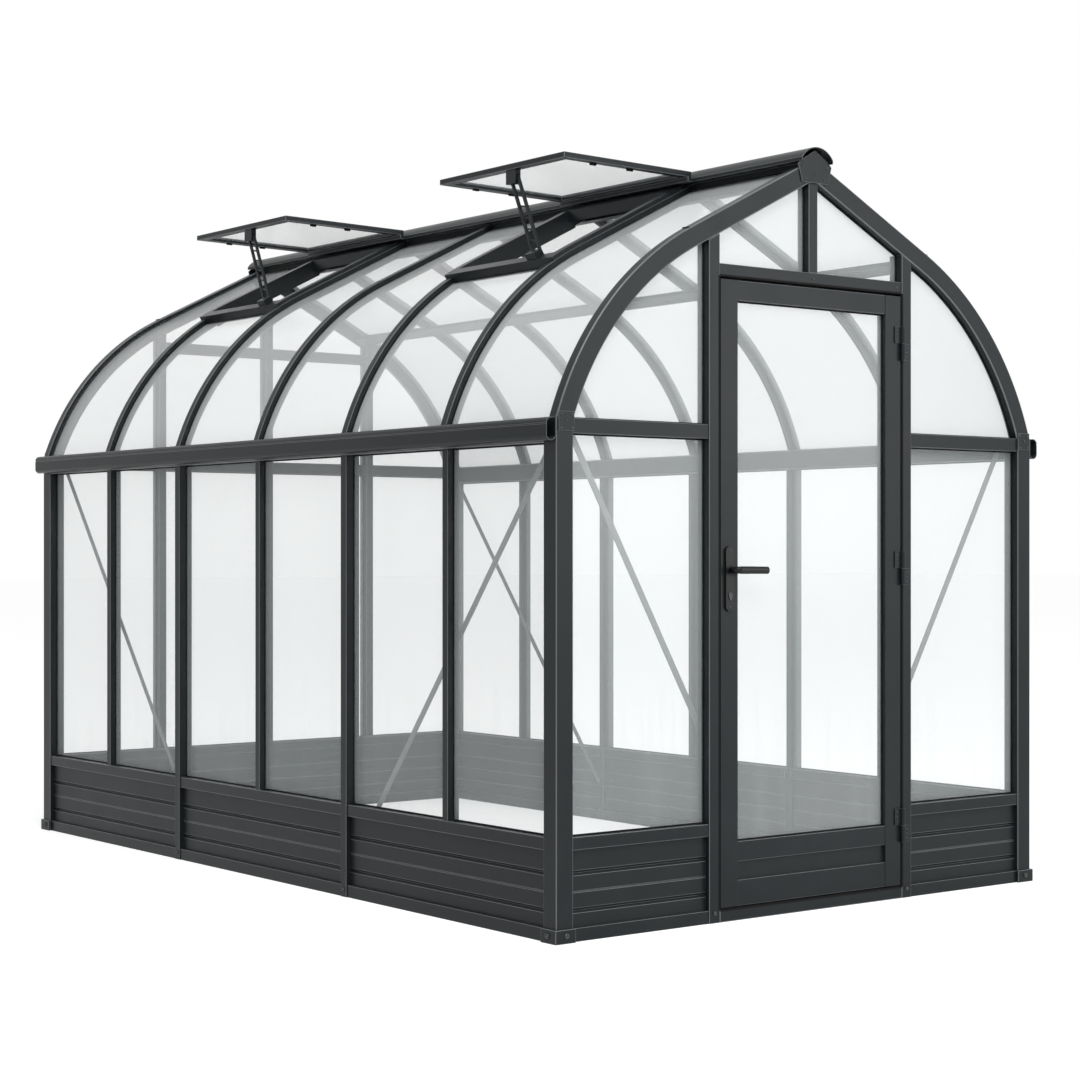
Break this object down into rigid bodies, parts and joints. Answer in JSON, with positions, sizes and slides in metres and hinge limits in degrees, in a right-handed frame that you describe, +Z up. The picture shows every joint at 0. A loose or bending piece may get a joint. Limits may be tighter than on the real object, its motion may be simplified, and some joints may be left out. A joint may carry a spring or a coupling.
{
  "type": "polycarbonate greenhouse",
  "caption": "Walk-in greenhouse of clear sheets on an aluminium frame, with curved eaves, a planked kick wall, open roof vents and a hinged door.",
  "frame": {"origin": "on the ground at the middle of the plan", "axes": "+Z up, the door gable faces -Y, the vented roof slope faces -X"},
  "size_m": [2.226, 3.73, 2.536],
  "materials": {
    "frame": "satin",
    "planks": "satin",
    "sheet": "clear, slightly hazy",
    "black": "satin"
  },
  "bodies": {
    "house": {"base_rails": "frame", "door_threshold": "frame", "corner_feet": "frame", "corner_posts": "frame", "side_posts": "frame", "glazing_bars": "frame", "door_posts": "frame", "back_gable_posts": "frame", "head_rails": "frame", "gable_mullion": "frame", "sill_rails": "frame", "kick_panels": "planks", "eave_beams": "frame", "eave_rails": "frame", "eave_corner_plates": "frame", "gutters": "frame", "front_arch_left": "frame", "front_arch_right": "frame", "back_arch_left": "frame", "back_arch_right": "frame", "roof_ribs_left": "frame", "roof_ribs_right": "frame", "ridge_beam": "frame", "ridge_cap": "frame", "ridge_end_plates": "frame", "roof_purlin": "frame", "wind_braces": "frame", "vent_curbs": "frame", "vent_sashes": "frame", "vent_panes": "sheet", "vent_stays": "frame", "wall_panes_left": "sheet", "wall_panes_right": "sheet", "gable_panes_front": "sheet", "gable_panes_back": "sheet", "roof_panes_left": "sheet", "roof_panes_right": "sheet", "hinge_pintles": "frame"},
    "door": {"door_stiles": "frame", "door_rails": "frame", "door_kick_panel": "planks", "door_pane": "sheet", "door_hinges": "frame", "handle_plates": "black"},
    "lever": {"door_handle": "black"}
  },
  "joints": [
    {"name": "door_swing", "type": "hinge", "parent": "house", "child": "door", "pos_m": [0.413, -1.838, 0], "axis": [0, 0, 1], "range_deg": [0, 110]},
    {"name": "lever_turn", "type": "hinge", "parent": "door", "child": "lever", "pos_m": [-0.377, -1.808, 1.133], "axis": [0, 1, 0], "range_deg": [0, 40], "stiffness_Nm_per_rad": 1.2, "springref_deg": -28.65}
  ]
}
